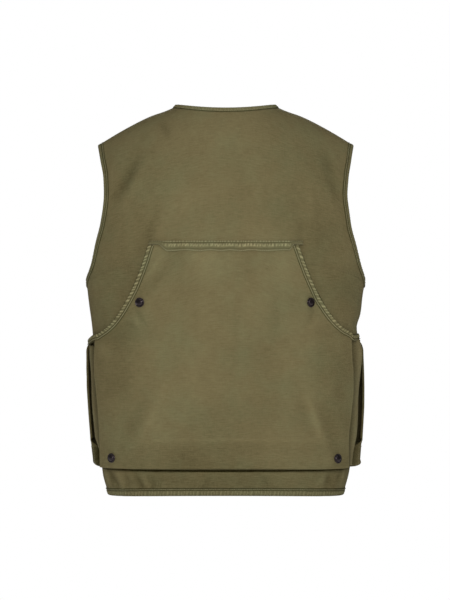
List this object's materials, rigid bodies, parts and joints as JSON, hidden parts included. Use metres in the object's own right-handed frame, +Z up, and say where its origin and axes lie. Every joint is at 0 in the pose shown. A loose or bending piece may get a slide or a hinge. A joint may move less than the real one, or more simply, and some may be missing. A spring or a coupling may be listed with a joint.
{
  "type": "v-neck work vest",
  "caption": "Canvas work vest with a V-neck front, bound edges, a large snap-down pouch across the lower back and side-entry front pockets.",
  "frame": {"origin": "midway between the points where the shoulders meet the neck, on the line along the top of the shoulders", "axes": "+Z up along the standing wearer, +Y the way the wearer faces, +X to the wearer's right"},
  "size_m": [0.4664, 0.2722, 0.6459],
  "materials": {
    "canvas": "matte washed olive canvas",
    "binding": "matte washed olive tape, worn pale on the puckers",
    "snap_metal": "dark burnished metal"
  },
  "bodies": {
    "root": {"back_panel": "canvas", "front_panel_left": "canvas", "front_panel_right": "canvas", "front_placket": "canvas", "front_pocket_left": "canvas", "front_pocket_right": "canvas", "pouch_face": "canvas", "pouch_base": "canvas", "pouch_gusset_left": "canvas", "pouch_gusset_right": "canvas", "neck_binding": "binding", "armhole_binding_left": "binding", "armhole_binding_right": "binding", "hem_binding": "binding", "pouch_top_band": "binding", "pouch_binding_left": "binding", "pouch_binding_right": "binding", "pouch_snap_upper_left": "snap_metal", "pouch_snap_upper_right": "snap_metal", "pouch_snap_lower_left": "snap_metal", "pouch_snap_lower_right": "snap_metal"}
  },
  "joints": []
}
